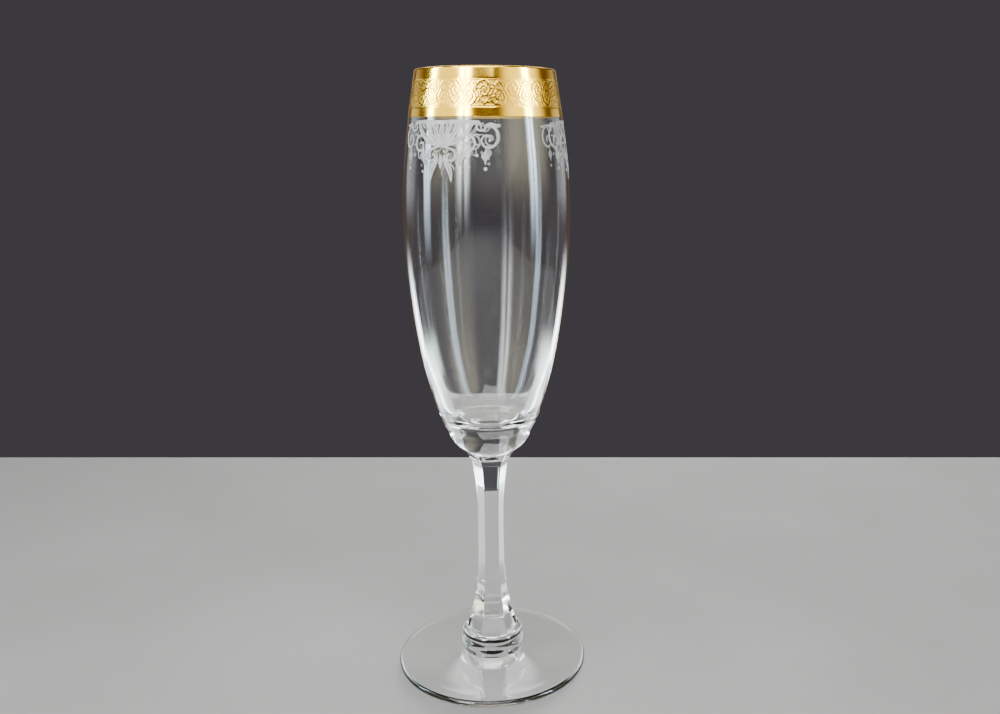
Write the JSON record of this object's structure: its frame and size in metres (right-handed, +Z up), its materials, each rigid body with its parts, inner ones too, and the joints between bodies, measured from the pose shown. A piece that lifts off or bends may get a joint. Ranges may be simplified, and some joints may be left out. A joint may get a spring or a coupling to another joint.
{
  "type": "champagne flute",
  "caption": "Tall slender stemmed drinking glass: tapered bowl with gilt rim band and white enamel scrollwork, six-sided stem, rounded collar and thin round foot.",
  "frame": {"origin": "centre of the plane the foot rests on, on the flute's axis", "axes": "+Z up the axis to the rim; one facet of the six-sided stem faces -Y"},
  "size_m": [0.0684, 0.0684, 0.21],
  "materials": {
    "clear_glass": "clear, fire-polished soda-lime glass",
    "gilt": "bright fired gold, with a matte etched foliate frieze between two polished borders",
    "white_enamel": "thin white frosted enamel"
  },
  "bodies": {
    "root": {"bowl": "clear_glass", "stem": "clear_glass", "stem_collar": "clear_glass", "foot": "clear_glass", "gold_band": "gilt", "enamel_lace": "white_enamel"}
  },
  "joints": []
}
